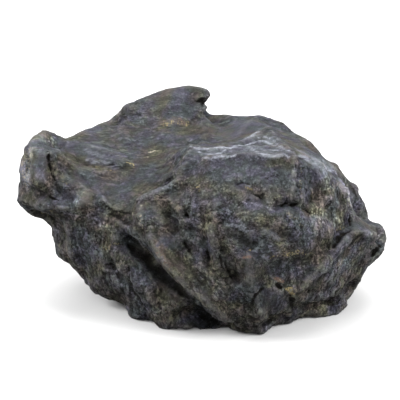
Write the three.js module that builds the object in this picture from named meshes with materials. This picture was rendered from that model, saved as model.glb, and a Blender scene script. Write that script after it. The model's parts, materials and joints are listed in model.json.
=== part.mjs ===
// A lodestone: one lump of natural magnetite, in millimetres, +Z up, at rest on its underside.
// A cage of corner points gives the main form. Its faces are divided and rounded, then marked
// with the stone's grooves, ridges, ledges and pits, and roughened.
import * as THREE from "three";
import { ConvexHull } from "three/addons/math/ConvexHull.js";
import { ImprovedNoise } from "three/addons/math/ImprovedNoise.js";

// driving dimensions
const LENGTH = 70.5; // along X, and every other size follows it
const FINE_EDGE = 1.7; // longest triangle side by a groove or a ridge
const COARSE_EDGE = 3.2; // and on a plain face
const ROUNDING = 3; // passes that round the cage's edges off
const LUMP_HEIGHT = 0.5; // of the broken surface
const LUMP_SPACING = 5.5;

// Corner points of the main form, by region.
const cage = {
  horn: [
    [-32.6, 0, 31.6], // outer top corner
    [-29.8, 4, 32.1], // top
    [-28, 6, 30.6], // top, inner end
    [-34.1, 1, 26.5], // outer side
    [-34.6, 0, 21.5], // outer side, low
    [-35.3, -1, 19], // lowest outer corner
    [-33, 2, 15.5], // underside
    [-29, 2, 13.5], // root of the underside
    [-31.5, -4, 31.2], // front face, upper outer corner
    [-28, -5, 31], // front face, upper inner corner
    [-31.5, -5, 27], // front face, outer edge
    [-28, -6, 26.5], // front face, inner edge
    [-31.5, -6.5, 24], // front face, lower outer corner
    [-27.5, -7, 24], // front face, lower inner corner
    [-30, -6.5, 21], // lower lip
    [-26, -8, 22], // inner end of the lower lip
  ],
  dish: [
    [-25.5, 7, 28.5], // saddle behind the horn
    [-26.5, 0, 29], // beside the horn
    [-26, -3.5, 25.5], // beside the horn, low
    [-23, 10, 28.5], // left rim
    [-20.5, 12, 30], // left rim
    [-18, 13, 30.5], // left rim
    [-15.5, 14, 31.5], // left rim, at the fin
    [-22.5, 2, 27.5], // floor
    [-21.5, -3.5, 24.5], // floor, front
    [-17, 7, 28.5], // floor, back
    [-16, 0.5, 26], // floor
    [-17, -4.5, 23], // floor, front
    [-10.5, 8, 28], // floor, back
    [-10.5, 1, 25.5], // floor, middle
    [-5.5, 4, 27.5], // floor, right
    [-6.5, -2, 25.5], // trough under the shoulder
    [-9.5, -6, 24], // trough, front
    [-12, -7.5, 22.5], // trough, front end
    [-1, 8, 29], // floor, right back
    [-22, -8.5, 22], // front edge
    [-19, -9, 21.5], // front edge
    [-16, -10, 20.5], // front edge
    [-13, -11, 20], // front edge
  ],
  fin: [
    [-15, 15.5, 32.5], // left step
    [-13, 16, 33.2], // crest
    [-11, 16.5, 34], // crest
    [-9, 17, 35.2], // crest
    [-7, 17, 36], // crest
    [-5, 16.8, 36.5], // crest
    [-3, 16.5, 36.8], // crest, highest
    [-0.8, 16, 36.6], // crest
    [1.1, 15.6, 35.9], // tip
    [1.7, 14.6, 33.4], // below the tip
    [1.4, 12.2, 31], // foot of the tip
    [2.4, 15.4, 30.9], // foot of the tip, right
    [4, 14, 30], // hollow beside the tip
    [-10.5, 14, 32], // face
    [-6.5, 14, 33], // face
    [-2.5, 14, 33.2], // face
    [-13.5, 12, 30.4], // foot, left
    [-10.5, 11.5, 30.1], // foot
    [-7.5, 11, 29.9], // foot
    [-4.5, 11, 30], // foot
    [-1.2, 11.5, 30.3], // foot, right
  ],
  scoop: [
    [6, 16, 30.5], // back rim
    [11.5, 16, 30.5], // back rim
    [15.5, 15, 30], // back rim
    [5, 10, 29.5], // scoop floor
    [2.5, 5, 29], // scoop floor, front
    [9, 9, 30.5], // scoop floor, right
    [12, 7, 30.5], // upper ridge
    [7.5, 0.5, 30], // upper ridge
    [3, -3, 30.5], // upper ridge
    [-2, -3, 30.5], // upper ridge, left end
  ],
  hump: [
    [-4, -7, 28.5], // shoulder
    [-5.5, -9.5, 26], // shoulder
    [-9, -10.5, 24], // shoulder
    [-11, -12.5, 21.5], // shoulder, foot
    [0.5, -9, 31], // crest
    [5, -10.5, 31.5], // crest
    [10, -11, 32], // crest
    [14, -11.5, 32], // crest
    [17, -12, 31.5], // crest corner
    [13, -4.5, 31.5], // top, right
    [17, -3, 30.5], // top, right
    [0, -13, 28], // face, upper left
    [5.5, -15, 28.5], // face, upper
    [11, -15.5, 28.5], // face, upper
    [16, -15, 28.5], // edge of the face
    [-2.5, -14, 23.5], // face, left
    [2, -16.5, 23.5], // face
    [8, -18.5, 24], // face
    [13.5, -18.5, 24], // face
    [16.5, -17, 25.5], // lower end of the edge
    [-4.5, -14.5, 20], // face, low left
    [1, -17.5, 18.5], // face, low
    [7, -20.5, 19], // face, low
    [13.5, -20.5, 18.5], // face, low
  ],
  right: [
    [18.5, 13, 28], // rim
    [21.5, 10, 27], // rim
    [24.5, 8, 24.5], // rim
    [27, 6, 23], // rim
    [29, 5, 20.5], // rim
    [31, 4, 18], // rim
    [32, 2.5, 15.5], // rim
    [21, -2, 28.5], // slope below the rim
    [20, -10.5, 30], // second ledge
    [23.5, -8.5, 28], // ledge corner
    [23, -11, 24.5], // right edge, middle
    [21.5, -13.5, 21.5], // right edge, low
    [19, -16.5, 19], // right edge, end
    [27, -5, 22], // right cheek
    [27, -7.5, 19], // right cheek, low
  ],
  nose: [
    [35, -1, 14.8], // top
    [35.9, -3, 12], // end
    [34.6, -4, 10], // under the end
    [28.5, -5, 17.5], // upper facet
    [30.5, -7.5, 15.5], // edge between the facets
    [27, -9.5, 16.5], // head of the ridge
    [24.5, -12.5, 15], // ridge
    [22, -15, 13], // ridge
    [19.5, -17, 11], // ridge
    [18, -18, 8], // ridge, low
    [24, -11, 18], // hollow left of the ridge head
    [19, -17, 14.5], // hollow left of the ridge
    [32, -5, 6.5], // outer edge
    [31, -6, 5], // outer edge
    [29, -7, 4], // outer edge
    [28, -8, 1], // outer edge, low
    [28, -9, 10], // lower facet
    [25, -12, 7], // lower facet
  ],
  foot: [
    [27.5, -9, 0], // right end
    [23, -12.5, 0], // right lobe
    [18.5, -13.5, 0], // right lobe
    [15.5, -13.5, 0], // notch between the lobe and the toe
    [13.5, -16.5, 0], // toe, right
    [11.5, -19, 0], // toe
    [8.5, -18.5, 0], // toe
    [5, -17, 0], // front
    [1, -17.5, 0], // front
    [-3, -17, 0], // front
    [-7, -16, 0], // front, left end
    [23.5, -12, 3], // pit above the lobe
    [16.5, -17.5, 5.5], // above the lobe
    [13.5, -20.5, 9.5], // above the toe
    [11, -21.5, 6], // above the toe
    [9, -22.5, 13.5], // front belly
  ],
  slab: [
    [-9, -14.5, 17.5], // head
    [-6.5, -16.5, 14.5], // lip
    [-3.5, -18.5, 11], // lip
    [0, -20, 8], // lip
    [4.5, -20.5, 4], // lip, low end
    [-2.5, -16.5, 16], // upper side
    [1, -19.5, 13], // upper side
    [4.5, -21.5, 8.5], // upper side
    [7.5, -21.5, 5], // upper side, low
  ],
  flank: [
    [-27.5, -2, 9], // silhouette
    [-24.5, -3, 6], // silhouette
    [-22, -5, 4.5], // silhouette
    [-19.5, -7, 2.5], // silhouette
    [-16.5, -9, 2], // silhouette
    [-14.5, -11, 1], // silhouette
    [-11, -13, 0], // silhouette
    [-27.5, -1, 12], // silhouette
    [-22.5, -7.5, 17], // under the dish
    [-24, -6, 11.5], // left bulge
    [-17.5, -10, 17.5], // under the dish
    [-13, -12.5, 17.5], // under the dish
    [-19.5, -9, 11.5], // middle
    [-19, -9.5, 7.5], // middle, low
    [-15, -12.5, 13], // middle
    [-14, -14, 8.5], // middle, low
    [-9, -15.5, 9.5], // below the groove
    [-9, -16, 4.5], // low
    [-3.5, -17.5, 4.5], // low
    [0, -17.5, 2.5], // low, right
  ],
  hornBack: [
    [-29, 9.5, 27.5],
    [-32, 7, 24],
    [-32.5, 6.5, 17.5],
    [-29, 9, 14],
  ],
  leftBack: [
    [-25, 14, 24.5],
    [-27, 12, 17],
    [-19.5, 19, 26],
    [-22, 17.5, 14],
    [-20.5, 12, 5.5],
  ],
  finBack: [
    [-14.5, 19.5, 30],
    [-10.5, 20.5, 30.5],
    [-6.5, 21.5, 32],
    [-2.5, 21.5, 32.2],
    [1, 19.5, 32.8],
    [3, 18.8, 30.2],
  ],
  wall: [
    [-11, 23, 24.5],
    [-1, 24, 26],
    [8, 21.5, 28],
    [15.5, 20, 27],
    [20.5, 17.5, 24.5],
    [-14, 22, 15],
    [-4, 25, 16],
    [7, 24.5, 19],
    [16.5, 22, 16],
    [25, 15.5, 20],
    [29, 11, 17],
    [-12.5, 17, 5],
    [-2.5, 20.5, 6],
    [8.5, 20.5, 8],
    [18, 17, 6],
    [26, 11.5, 9],
    [31.5, 7, 12],
    [33, 3, 8.5],
    [30.5, 1.5, 4.5],
    [-26, 5, 6],
    [-19.5, 3.5, 2.5],
  ],
  underside: [
    [-13, -6, -0.8],
    [-14.5, 1, -1],
    [-12, 8, -1],
    [-5, 12.5, -0.8],
    [4, 15, -0.6],
    [13, 14, -0.6],
    [20, 10, -0.6],
    [24.5, 4, -0.6],
    [26.5, -3, -0.4],
    [-4, 0, 1.2],
    [6, 3, 0.8],
    [14, -3, 1.2],
    [5, -9, -0.6],
    [-5, -8, -0.6],
    [15, 6, -0.4],
  ],
};

// Marks on the surface: `out` is how far it stands out, or in where it is negative, and
// `wide` is its reach to each side of the path.
const marks = {
  // deep furrow below the slab
  furrow: {
    out: -3.6,
    wide: 2.3,
    path: [
      [-14, -12.5, 16], [-12.5, -13.5, 14.5], [-9.5, -15.5, 11.8], [-6, -17, 9.2],
      [-2, -18.5, 6.5], [0.5, -19, 5],
    ],
  },
  furrowEnd: {
    out: -2.6,
    wide: 2.4,
    path: [[-3, -17.5, 3], [0, -17.5, 2], [2.5, -17.5, 1.5], [5, -18.5, 1.5]],
  },
  slabLip: {
    out: 1.1,
    wide: 2,
    path: [
      [-9, -14.5, 17.5], [-6, -17, 13.5], [-3.5, -18.5, 11.2], [-1, -19.5, 9], [2, -20.5, 7],
      [4.5, -20.5, 4.5],
    ],
  },
  slabHeadCrack: {
    out: -1,
    wide: 1.2,
    path: [[-3, -16, 17.5], [-2, -16.5, 16.5], [-0.5, -17.5, 15.5]],
  },
  // horn
  hornCrack: {
    out: -1.8,
    wide: 1.3,
    path: [[-28.2, -3, 30], [-28, -5.5, 27.5], [-27, -5.5, 25.5], [-26, -6, 24.3]],
  },
  hornHole: { out: -2, wide: 1.8, path: [[-25.5, -6, 24], [-24.5, -7, 23.3], [-23.5, -8, 22.5]] },
  hornStep: {
    out: -1.5,
    wide: 1.4,
    path: [[-32.3, -3.5, 22.3], [-30.5, -6.5, 22.8], [-28.5, -7, 22.8], [-27, -7.5, 22]],
  },
  hornLip: {
    out: 1,
    wide: 1.3,
    path: [[-33, -3, 20], [-31, -5, 20.5], [-28, -7.5, 21], [-25, -8, 20.8], [-23, -8, 20.3]],
  },
  paleLump: { out: 1, wide: 2.2, path: [[-21.8, -8, 21.8], [-20.6, -8.4, 22.2]] },
  // dish
  dishSheet: {
    out: 0.7,
    wide: 2,
    path: [[-24, 5, 28], [-21, 4, 27.8], [-18, 3, 27.2], [-15, 2.2, 26.5]],
  },
  dishLine: {
    out: -0.6,
    wide: 1.4,
    path: [[-22.5, 0.5, 27], [-20.5, 0, 26], [-13.5, 0, 25.5], [-5, -3, 26.5]],
  },
  dishBottom: {
    out: 0.7,
    wide: 1.5,
    path: [[-26, -4.5, 25], [-22.5, -5, 24], [-20, -7, 22.5], [-17.5, -8.5, 21.5]],
  },
  dishLipCrack: {
    out: -1.2,
    wide: 1.2,
    path: [[-17.5, -8.8, 21], [-15.5, -10.2, 20], [-12.5, -11.5, 19.5]],
  },
  wallCrack: {
    out: -1.4,
    wide: 1.2,
    path: [[-19.5, -7.7, 21.8], [-19, -9, 20.8], [-19, -9, 18.5]],
  },
  col: { out: 0.8, wide: 1.8, path: [[0.5, 11, 29.8], [1, 7.5, 29], [0.3, 2, 29.5]] },
  // hump
  humpLip: {
    out: 1.1,
    wide: 1.5,
    path: [
      [-10.5, -10, 23], [-8.5, -10.2, 24], [-6, -10, 25.3], [-4, -9.8, 27], [-2.5, -8, 29],
      [-1.5, -5.5, 30.5],
    ],
  },
  lipHollow: { out: -1.3, wide: 1.6, path: [[-8.5, -6.5, 25], [-6.8, -7.6, 25.6], [-5.2, -8, 27]] },
  sideHollow: { out: -1.1, wide: 2, path: [[-6, -12.5, 22.5], [-5, -14, 20.5], [-4.5, -15, 19]] },
  sideRidge: { out: 1, wide: 1.4, path: [[-11, -9.8, 22.3], [-10.5, -12, 21], [-10, -13.5, 19.5]] },
  darkHollow: {
    out: -1.4,
    wide: 1.7,
    path: [[-2, -15.5, 19.5], [-0.5, -16.5, 18.8], [0, -17, 18]],
  },
  foldRidge: {
    out: 1,
    wide: 1.7,
    path: [[3, -16, 24.5], [2.5, -17, 22.5], [2.5, -18, 20], [3, -19, 17.5], [4, -20, 15.5]],
  },
  leftTrough: {
    out: -1.2,
    wide: 1.3,
    path: [[1, -17.5, 18.5], [1, -18.5, 16.5], [1.5, -19.5, 14]],
  },
  rightTrough: {
    out: -1.6,
    wide: 1.6,
    path: [[3.8, -19.7, 17], [4.7, -20.5, 15], [5.3, -21, 13.5], [6.2, -21.5, 12]],
  },
  browCrack: { out: -0.9, wide: 1.2, path: [[7, -15.5, 28.3], [9.5, -16, 27.3], [11, -17, 26.3]] },
  longPit: { out: -1.9, wide: 1.5, path: [[14, -17.5, 24.8], [16, -17, 25], [17.5, -16.5, 24.5]] },
  sidePit: { out: -1.2, wide: 1.1, path: [[19, -15.5, 23.5], [20.5, -14.7, 21.8]] },
  smallPit: { out: -1.5, wide: 1.3, path: [[-2.6, -14.8, 22.4]] },
  crest: {
    out: 0.8,
    wide: 1.3,
    path: [
      [1, -9.5, 31], [4, -10, 31.5], [10.5, -11, 32], [13.5, -11.5, 32], [15.5, -9.5, 31.5],
      [17, -11.3, 31.5],
    ],
  },
  crestBack: {
    out: 0.9,
    wide: 1.4,
    path: [[13, 6, 30.5], [14.5, 0, 30.5], [16, -6, 31], [17, -10, 31]],
  },
  scoopEdge: {
    out: 0.9,
    wide: 1.5,
    path: [
      [-2, -1, 30], [0, -4, 30.5], [2.5, -5.5, 31], [6, -2, 30.5], [9, 0, 30], [11, 4.5, 30.5],
      [13, 6, 30.5],
    ],
  },
  crestDip: { out: -0.8, wide: 1.8, path: [[5, -7, 31.3], [8.5, -5, 31.3], [12, -6, 31.5]] },
  scoopRib: { out: 0.5, wide: 1.6, path: [[7.5, 6.5, 30], [9.5, 10.5, 30.5], [11.5, 15, 30.5]] },
  arris: {
    out: 0.7,
    wide: 1.3,
    path: [[17, -11.5, 31.5], [17, -13.5, 29.5], [16.5, -15, 27.5], [16.5, -16.5, 25.8]],
  },
  // right of the hump
  ledge: {
    out: 0.9,
    wide: 1.4,
    path: [[18, -7, 30.5], [20, -8, 29.8], [21.5, -8.5, 29], [23.7, -4, 27], [25.6, 1, 25]],
  },
  recess: {
    out: -1.4,
    wide: 2.2,
    path: [[19, -12, 29], [20.5, -11.8, 28], [21.5, -12, 26.5], [21, -13, 25]],
  },
  recessEdge: {
    out: 0.8,
    wide: 1.4,
    path: [[24.5, -3, 25.6], [24.5, -8.5, 25.2], [23.5, -10, 23.7]],
  },
  streak: { out: 0.8, wide: 1.4, path: [[26.5, -1, 23], [27, -4.5, 22], [27, -6.5, 19.5]] },
  redPit: { out: -1.8, wide: 1.4, path: [[28, -7, 17.7]] },
  // nose and the ridge below it
  noseEdge: {
    out: 0.8,
    wide: 1.3,
    path: [[28.5, -8.5, 16], [30.5, -7.5, 15.5], [32.5, -5, 14], [34.5, -2.5, 12.7]],
  },
  noseSpot: { out: -1, wide: 1.3, path: [[34, -3.5, 11], [33, -5, 10]] },
  ridgeCrack: {
    out: -1.6,
    wide: 1.3,
    path: [[28, -8.7, 17.2], [26, -10, 16.9], [24.6, -11.5, 15.3], [23.8, -12.5, 13.8]],
  },
  ridge: {
    out: 1.2,
    wide: 1.7,
    path: [
      [27.4, -9.7, 15.2], [25.2, -12, 13.5], [22.5, -14.5, 11.5], [20.5, -16.5, 10.5],
      [18.5, -18, 9],
    ],
  },
  ridgeTrough: {
    out: -1.5,
    wide: 2,
    path: [[23, -13.5, 15.3], [21, -15.2, 14.2], [18, -17.5, 13.6], [13.5, -20.5, 14.5]],
  },
  lobeRidge: {
    out: 0.9,
    wide: 1.4,
    path: [[18.5, -16.5, 6], [22, -14, 5.2], [25, -11, 4.8], [26.5, -10, 5.8]],
  },
  lobeHollow: { out: -1.5, wide: 1.7, path: [[21, -13.3, 2.7], [23, -12.7, 3.2], [25, -11, 2.8]] },
  toeNotch: { out: -1.3, wide: 1.6, path: [[12, -20, 2], [13, -19, 2.5], [15, -17.3, 3]] },
  toeRidge: {
    out: 0.9,
    wide: 2,
    path: [[8.5, -21.5, 16], [9, -22.3, 12.5], [10, -21.5, 8], [11.3, -20.5, 4]],
  },
  toeCrack: {
    out: -0.9,
    wide: 1.1,
    path: [[10.8, -21.5, 10.3], [9.6, -21.5, 8.5], [9.3, -21.5, 7]],
  },
  // left flank
  flankHollow: {
    out: -1.2,
    wide: 1.8,
    path: [[-16.5, -11.5, 10.5], [-15.5, -12.5, 9.3], [-14.5, -13.5, 8.3]],
  },
  flankCrack: {
    out: -1.1,
    wide: 1.2,
    path: [[-13.8, -13.5, 11], [-13.6, -14, 9], [-13, -14, 6.5]],
  },
  flankRib: {
    out: 0.8,
    wide: 1.2,
    path: [[-12.5, -13.5, 12], [-12.5, -14, 10], [-12.3, -14.5, 8]],
  },
  flankRib2: {
    out: 0.8,
    wide: 1.4,
    path: [[-10, -15, 11.3], [-9.5, -15.5, 8.5], [-8.5, -16, 5.5]],
  },
  leftRib: { out: 1, wide: 1.8, path: [[-24, -6, 16], [-24.5, -5.5, 12.5], [-24, -5.5, 9.5]] },
  // fin
  finPitHigh: { out: -0.9, wide: 1.3, path: [[1.4, 14.3, 33.9]] },
  finPitLow: { out: -0.9, wide: 1.3, path: [[1.5, 13.3, 32]] },
  // back and sides
  backLedge: {
    out: 1.4,
    wide: 2.4,
    path: [[-25, 13.5, 23], [-18, 19.5, 21], [-11, 22.5, 18.5], [-4, 24.5, 18.5], [1, 24.5, 21]],
  },
  backHollow: { out: -1.6, wide: 3, path: [[-16, 19.5, 15], [-9, 21.5, 12.5], [-1, 23, 12]] },
  backShelf: {
    out: 1.2,
    wide: 2.2,
    path: [[-14, 21.5, 27], [-8, 23, 28.5], [-1, 22.8, 29], [4, 21.5, 28]],
  },
  backCrack: {
    out: -1.3,
    wide: 1.6,
    path: [[-10, 23, 25.5], [-7, 23.5, 22], [-5, 24.5, 17], [-1, 22.5, 10], [1, 20, 6]],
  },
  sideCrack: {
    out: -1.3,
    wide: 1.6,
    path: [[22, 15, 24.5], [23, 16, 20], [21.5, 17, 14], [23, 14.5, 8]],
  },
  backFurrow: {
    out: -1.9,
    wide: 2.2,
    path: [[4, 21.5, 28.5], [7, 24, 22], [11, 23.5, 15], [14, 20, 8]],
  },
  backRidge: {
    out: 1.2,
    wide: 2.4,
    path: [[16, 20, 26.5], [19, 19.5, 20], [20, 18.5, 13], [21, 15.5, 7]],
  },
  cornerHollow: { out: -1.4, wide: 2.6, path: [[25.5, 14.5, 20], [27, 13, 14], [27.5, 10.5, 9]] },
  hornGroove: { out: -1.2, wide: 1.8, path: [[-32, 7, 25], [-31, 8.5, 19.5], [-28, 10, 15]] },
  leftFurrow: {
    out: -1.5,
    wide: 2.2,
    path: [[-27, 12, 17.5], [-22.5, 15.5, 12.5], [-17.5, 16.5, 8]],
  },
};

// Tips and hollows that lean over: points within `wide` of `centre` are drawn along `by`.
const pulls = [
  { centre: [1, 15.6, 36], wide: 2.6, by: [1.2, 0.1, 0.1] }, // hooked tip of the fin
  { centre: [2.4, 15, 31.3], wide: 2.4, by: [-1.2, 0, 0] }, // and the hollow under it
  { centre: [11, -19, 0], wide: 3.4, by: [0.6, -0.4, 0] }, // toe
];

const vector = (p) => new THREE.Vector3(...p);
const ramp = (share) => THREE.MathUtils.smoothstep(share, 0, 1);

// Direction in which a corner lies from the line along the stone's middle. Its turn towards the
// line's ends keeps the corners of the long stone apart, and pressing the fin down keeps its
// crest apart from its face.
const MIDDLE = new THREE.Line3(vector([-24, 2.5, 16]), vector([24, 4.5, 10]));
const END_TURN = 1.6;
const FIN_FOOT = 31;
const FIN_PRESS = 0.25;
function outlook(corner) {
  const p = corner.clone();
  if (p.z > FIN_FOOT) p.z = FIN_FOOT + FIN_PRESS * (p.z - FIN_FOOT);
  const foot = MIDDLE.closestPointToPoint(p, true, new THREE.Vector3());
  const away = p.clone().sub(foot).normalize();
  away.x += END_TURN * (2 * MIDDLE.closestPointToPointParameter(p, true) - 1);
  return away.normalize();
}

// faces between the corners: those of the hull of their outlooks
function span(corners) {
  const outlooks = corners.map(outlook);
  const hull = new ConvexHull().setFromPoints(outlooks);
  return hull.faces.map(({ edge }) => {
    const around = [edge, edge.next, edge.next.next];
    return around.map((side) => outlooks.indexOf(side.head().point));
  });
}

const pairName = (a, b) => (a < b ? `${a}_${b}` : `${b}_${a}`);

// the faces on both sides of every edge, each with the corner across from the edge
function edgesOf(faces) {
  const edges = new Map();
  faces.forEach(([a, b, c], face) => {
    for (const [from, to, apex] of [[a, b, c], [b, c, a], [c, a, b]]) {
      const name = pairName(from, to);
      if (!edges.has(name)) edges.set(name, []);
      edges.get(name).push({ face, from, to, apex });
    }
  });
  return edges;
}

// Turns an edge the other way across its two faces where that is clearly shorter and folds
// nothing over, until no edge gains by it.
const CLEARLY = 0.97;
const LEAST_FACING = 0.2;
const LEAST_FACES = 5; // round a corner that loses one
const MOST_PASSES = 60;
function shorten(at, faces) {
  const facing = (face) => {
    const [a, b, c] = face.map((i) => at[i]);
    return new THREE.Triangle(a, b, c).getNormal(new THREE.Vector3());
  };
  let turned = true;
  for (let pass = 0; turned && pass < MOST_PASSES; pass++) {
    turned = false;
    const edges = edgesOf(faces);
    const count = at.map(() => 0);
    for (const corner of faces.flat()) count[corner]++;
    const done = new Set();
    for (const [one, two] of edges.values()) {
      if (done.has(one.face) || done.has(two.face)) continue;
      if (edges.has(pairName(one.apex, two.apex))) continue;
      if (Math.min(count[one.from], count[one.to]) < LEAST_FACES) continue;
      const across = at[one.apex].distanceTo(at[two.apex]);
      if (across > CLEARLY * at[one.from].distanceTo(at[one.to])) continue;
      const before = facing(faces[one.face]).add(facing(faces[two.face]));
      const left = [one.apex, one.from, two.apex];
      const right = [two.apex, one.to, one.apex];
      if (Math.min(facing(left).dot(before), facing(right).dot(before)) < LEAST_FACING) continue;
      faces[one.face] = left;
      faces[two.face] = right;
      done.add(one.face).add(two.face);
      turned = true;
    }
  }
}

// how far p is from a path
const leg = new THREE.Line3();
const legPoint = new THREE.Vector3();
function gapTo(path, p) {
  if (path.length === 1) return p.distanceTo(path[0]);
  let gap = Infinity;
  for (let i = 1; i < path.length; i++) {
    leg.set(path[i - 1], path[i]).closestPointToPoint(p, true, legPoint);
    gap = Math.min(gap, p.distanceTo(legPoint));
  }
  return gap;
}

const markList = Object.values(marks).map((mark) => ({ ...mark, path: mark.path.map(vector) }));

// longest triangle side allowed at p: short by a mark, and longer away from one
const EDGE_GROWTH = 0.5;
function edgeLimit(p) {
  const clear = Math.min(...markList.map(({ path, wide }) => gapTo(path, p) - wide));
  return THREE.MathUtils.clamp(FINE_EDGE + EDGE_GROWTH * clear, FINE_EDGE, COARSE_EDGE);
}

// the shorter way to part a four-sided face
function parted(at, a, b, c, d) {
  if (at[a].distanceTo(at[c]) < at[b].distanceTo(at[d])) return [[a, b, c], [a, c, d]];
  return [[a, b, d], [b, c, d]];
}

// a face parted at those of its sides that have a middle point (-1: none)
function divided(at, face, middles) {
  const cuts = middles.filter((m) => m >= 0).length;
  if (cuts === 0) return [face];
  const odd = middles.findIndex((m) => (cuts === 1 ? m >= 0 : m < 0));
  const turn = (list) => [0, 1, 2].map((i) => list[(i + Math.max(odd, 0)) % 3]);
  const [a, b, c] = turn(face);
  const [ab, bc, ca] = turn(middles);
  if (cuts === 1) return [[a, ab, c], [ab, b, c]];
  if (cuts === 2) return [[c, ca, bc], ...parted(at, ca, a, b, bc)];
  return [[a, ab, ca], [ab, b, bc], [ca, bc, c], [ab, bc, ca]];
}

// halves every side that is too long, until none is
function refine(at, faces) {
  const middles = new Map();
  const middle = (a, b) => {
    const name = pairName(a, b);
    if (!middles.has(name)) {
      const half = at[a].clone().lerp(at[b], 0.5);
      const long = at[a].distanceTo(at[b]) > edgeLimit(half);
      middles.set(name, long ? at.push(half) - 1 : -1);
    }
    return middles.get(name);
  };
  const finer = faces.flatMap((face) => {
    const [a, b, c] = face;
    return divided(at, face, [middle(a, b), middle(b, c), middle(c, a)]);
  });
  return finer.length === faces.length ? faces : refine(at, finer);
}

// Rounds the cage's edges off: each pass draws every point towards its neighbours and lets it
// out again by a little more, so that the stone keeps its size.
const DRAW_IN = 0.5;
const LET_OUT = -0.53;
function round(at, faces) {
  const near = at.map(() => new Set());
  for (const [a, b, c] of faces) {
    near[a].add(b).add(c);
    near[b].add(c).add(a);
    near[c].add(a).add(b);
  }
  for (let step = 0; step < 2 * ROUNDING; step++) {
    const share = step % 2 === 0 ? DRAW_IN : LET_OUT;
    const moved = at.map((p, i) => {
      const mean = new THREE.Vector3();
      for (const j of near[i]) mean.add(at[j]);
      return p.clone().lerp(mean.divideScalar(near[i].size), share);
    });
    moved.forEach((p, i) => at[i].copy(p));
  }
}

// outward direction at each point
function outwards(at, faces) {
  const directions = at.map(() => new THREE.Vector3());
  for (const [a, b, c] of faces) {
    const side = new THREE.Vector3().subVectors(at[c], at[a]);
    const facing = new THREE.Vector3().subVectors(at[b], at[a]).cross(side);
    for (const i of [a, b, c]) directions[i].add(facing);
  }
  return directions.map((direction) => direction.normalize());
}

// Height of the broken surface at p: lumps in two sizes, drawn out along X where it faces up,
// and broad ones too at the back.
const noise = new ImprovedNoise();
const TOP_STRETCH = 1.5;
const BACK_SHARE = 2.2;
function lumps(p, facing) {
  const up = ramp(facing.z);
  const sizes = [[BACK_SHARE * ramp(facing.y), 2], [1, 1], [0.5, 0.5]];
  let height = 0;
  for (const [share, times] of sizes) {
    const size = times * LUMP_SPACING;
    const x = p.x / size / (1 + TOP_STRETCH * up) + 7.3;
    height += share * noise.noise(x, p.y / size + 2.1, p.z / size + 4.7);
  }
  return height * LUMP_HEIGHT * (2 - up);
}

function mark(at, faces) {
  const facing = outwards(at, faces);
  const heights = at.map((p, i) => {
    let height = lumps(p, facing[i]);
    for (const { out, wide, path } of markList) height += out * ramp(1 - gapTo(path, p) / wide);
    return height;
  });
  at.forEach((p, i) => p.addScaledVector(facing[i], heights[i]));
  for (const { centre, wide, by } of pulls) {
    for (const p of at) p.addScaledVector(vector(by), ramp(1 - p.distanceTo(vector(centre)) / wide));
  }
}

function stoneGeometry() {
  const at = Object.values(cage).flat().map(vector);
  const corners = span(at);
  shorten(at, corners);
  const faces = refine(at, corners);
  shorten(at, faces);
  round(at, faces);
  mark(at, faces);
  for (const p of at) p.z = Math.max(p.z, 0); // the flats it rests on
  const geometry = new THREE.BufferGeometry().setFromPoints(at).setIndex(faces.flat());
  geometry.computeBoundingBox();
  const { min, max } = geometry.boundingBox;
  const scale = LENGTH / (max.x - min.x);
  geometry.translate(-(min.x + max.x) / 2, -(min.y + max.y) / 2, 0).scale(scale, scale, scale);
  geometry.computeVertexNormals();
  return geometry;
}

const magnetite = new THREE.MeshStandardMaterial({ color: 0x4a4c50, roughness: 0.5, metalness: 0.3 });
const lodestone = new THREE.Mesh(stoneGeometry(), magnetite);
lodestone.name = "lodestone";

const group = new THREE.Group();
group.add(lodestone);
export default group;
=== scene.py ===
import json
import math
import bmesh
import bpy
import numpy as np
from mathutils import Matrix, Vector, kdtree, noise
from mathutils.bvhtree import BVHTree

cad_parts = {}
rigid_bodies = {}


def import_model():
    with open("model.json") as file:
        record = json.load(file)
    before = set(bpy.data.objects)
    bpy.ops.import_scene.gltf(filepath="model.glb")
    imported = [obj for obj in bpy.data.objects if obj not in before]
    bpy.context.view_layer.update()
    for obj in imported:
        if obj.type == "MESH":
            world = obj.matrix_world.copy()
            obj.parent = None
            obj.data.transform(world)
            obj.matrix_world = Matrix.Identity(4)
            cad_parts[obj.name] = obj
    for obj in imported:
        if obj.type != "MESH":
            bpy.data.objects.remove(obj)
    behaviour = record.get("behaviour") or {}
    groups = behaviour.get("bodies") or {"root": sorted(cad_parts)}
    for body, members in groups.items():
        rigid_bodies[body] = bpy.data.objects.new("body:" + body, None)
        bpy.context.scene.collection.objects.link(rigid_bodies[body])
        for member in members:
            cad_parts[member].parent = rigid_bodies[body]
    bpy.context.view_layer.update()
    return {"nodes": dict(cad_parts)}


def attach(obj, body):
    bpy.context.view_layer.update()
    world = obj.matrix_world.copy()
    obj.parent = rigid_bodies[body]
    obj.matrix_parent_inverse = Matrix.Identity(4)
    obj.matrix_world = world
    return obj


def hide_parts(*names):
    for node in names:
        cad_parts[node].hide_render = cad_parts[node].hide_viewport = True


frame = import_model()
mm = 0.001  # metres in a millimetre
noiseSeed = 11
noise.seed_set(noiseSeed)  # without it the noise vectors differ from run to run


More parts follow.
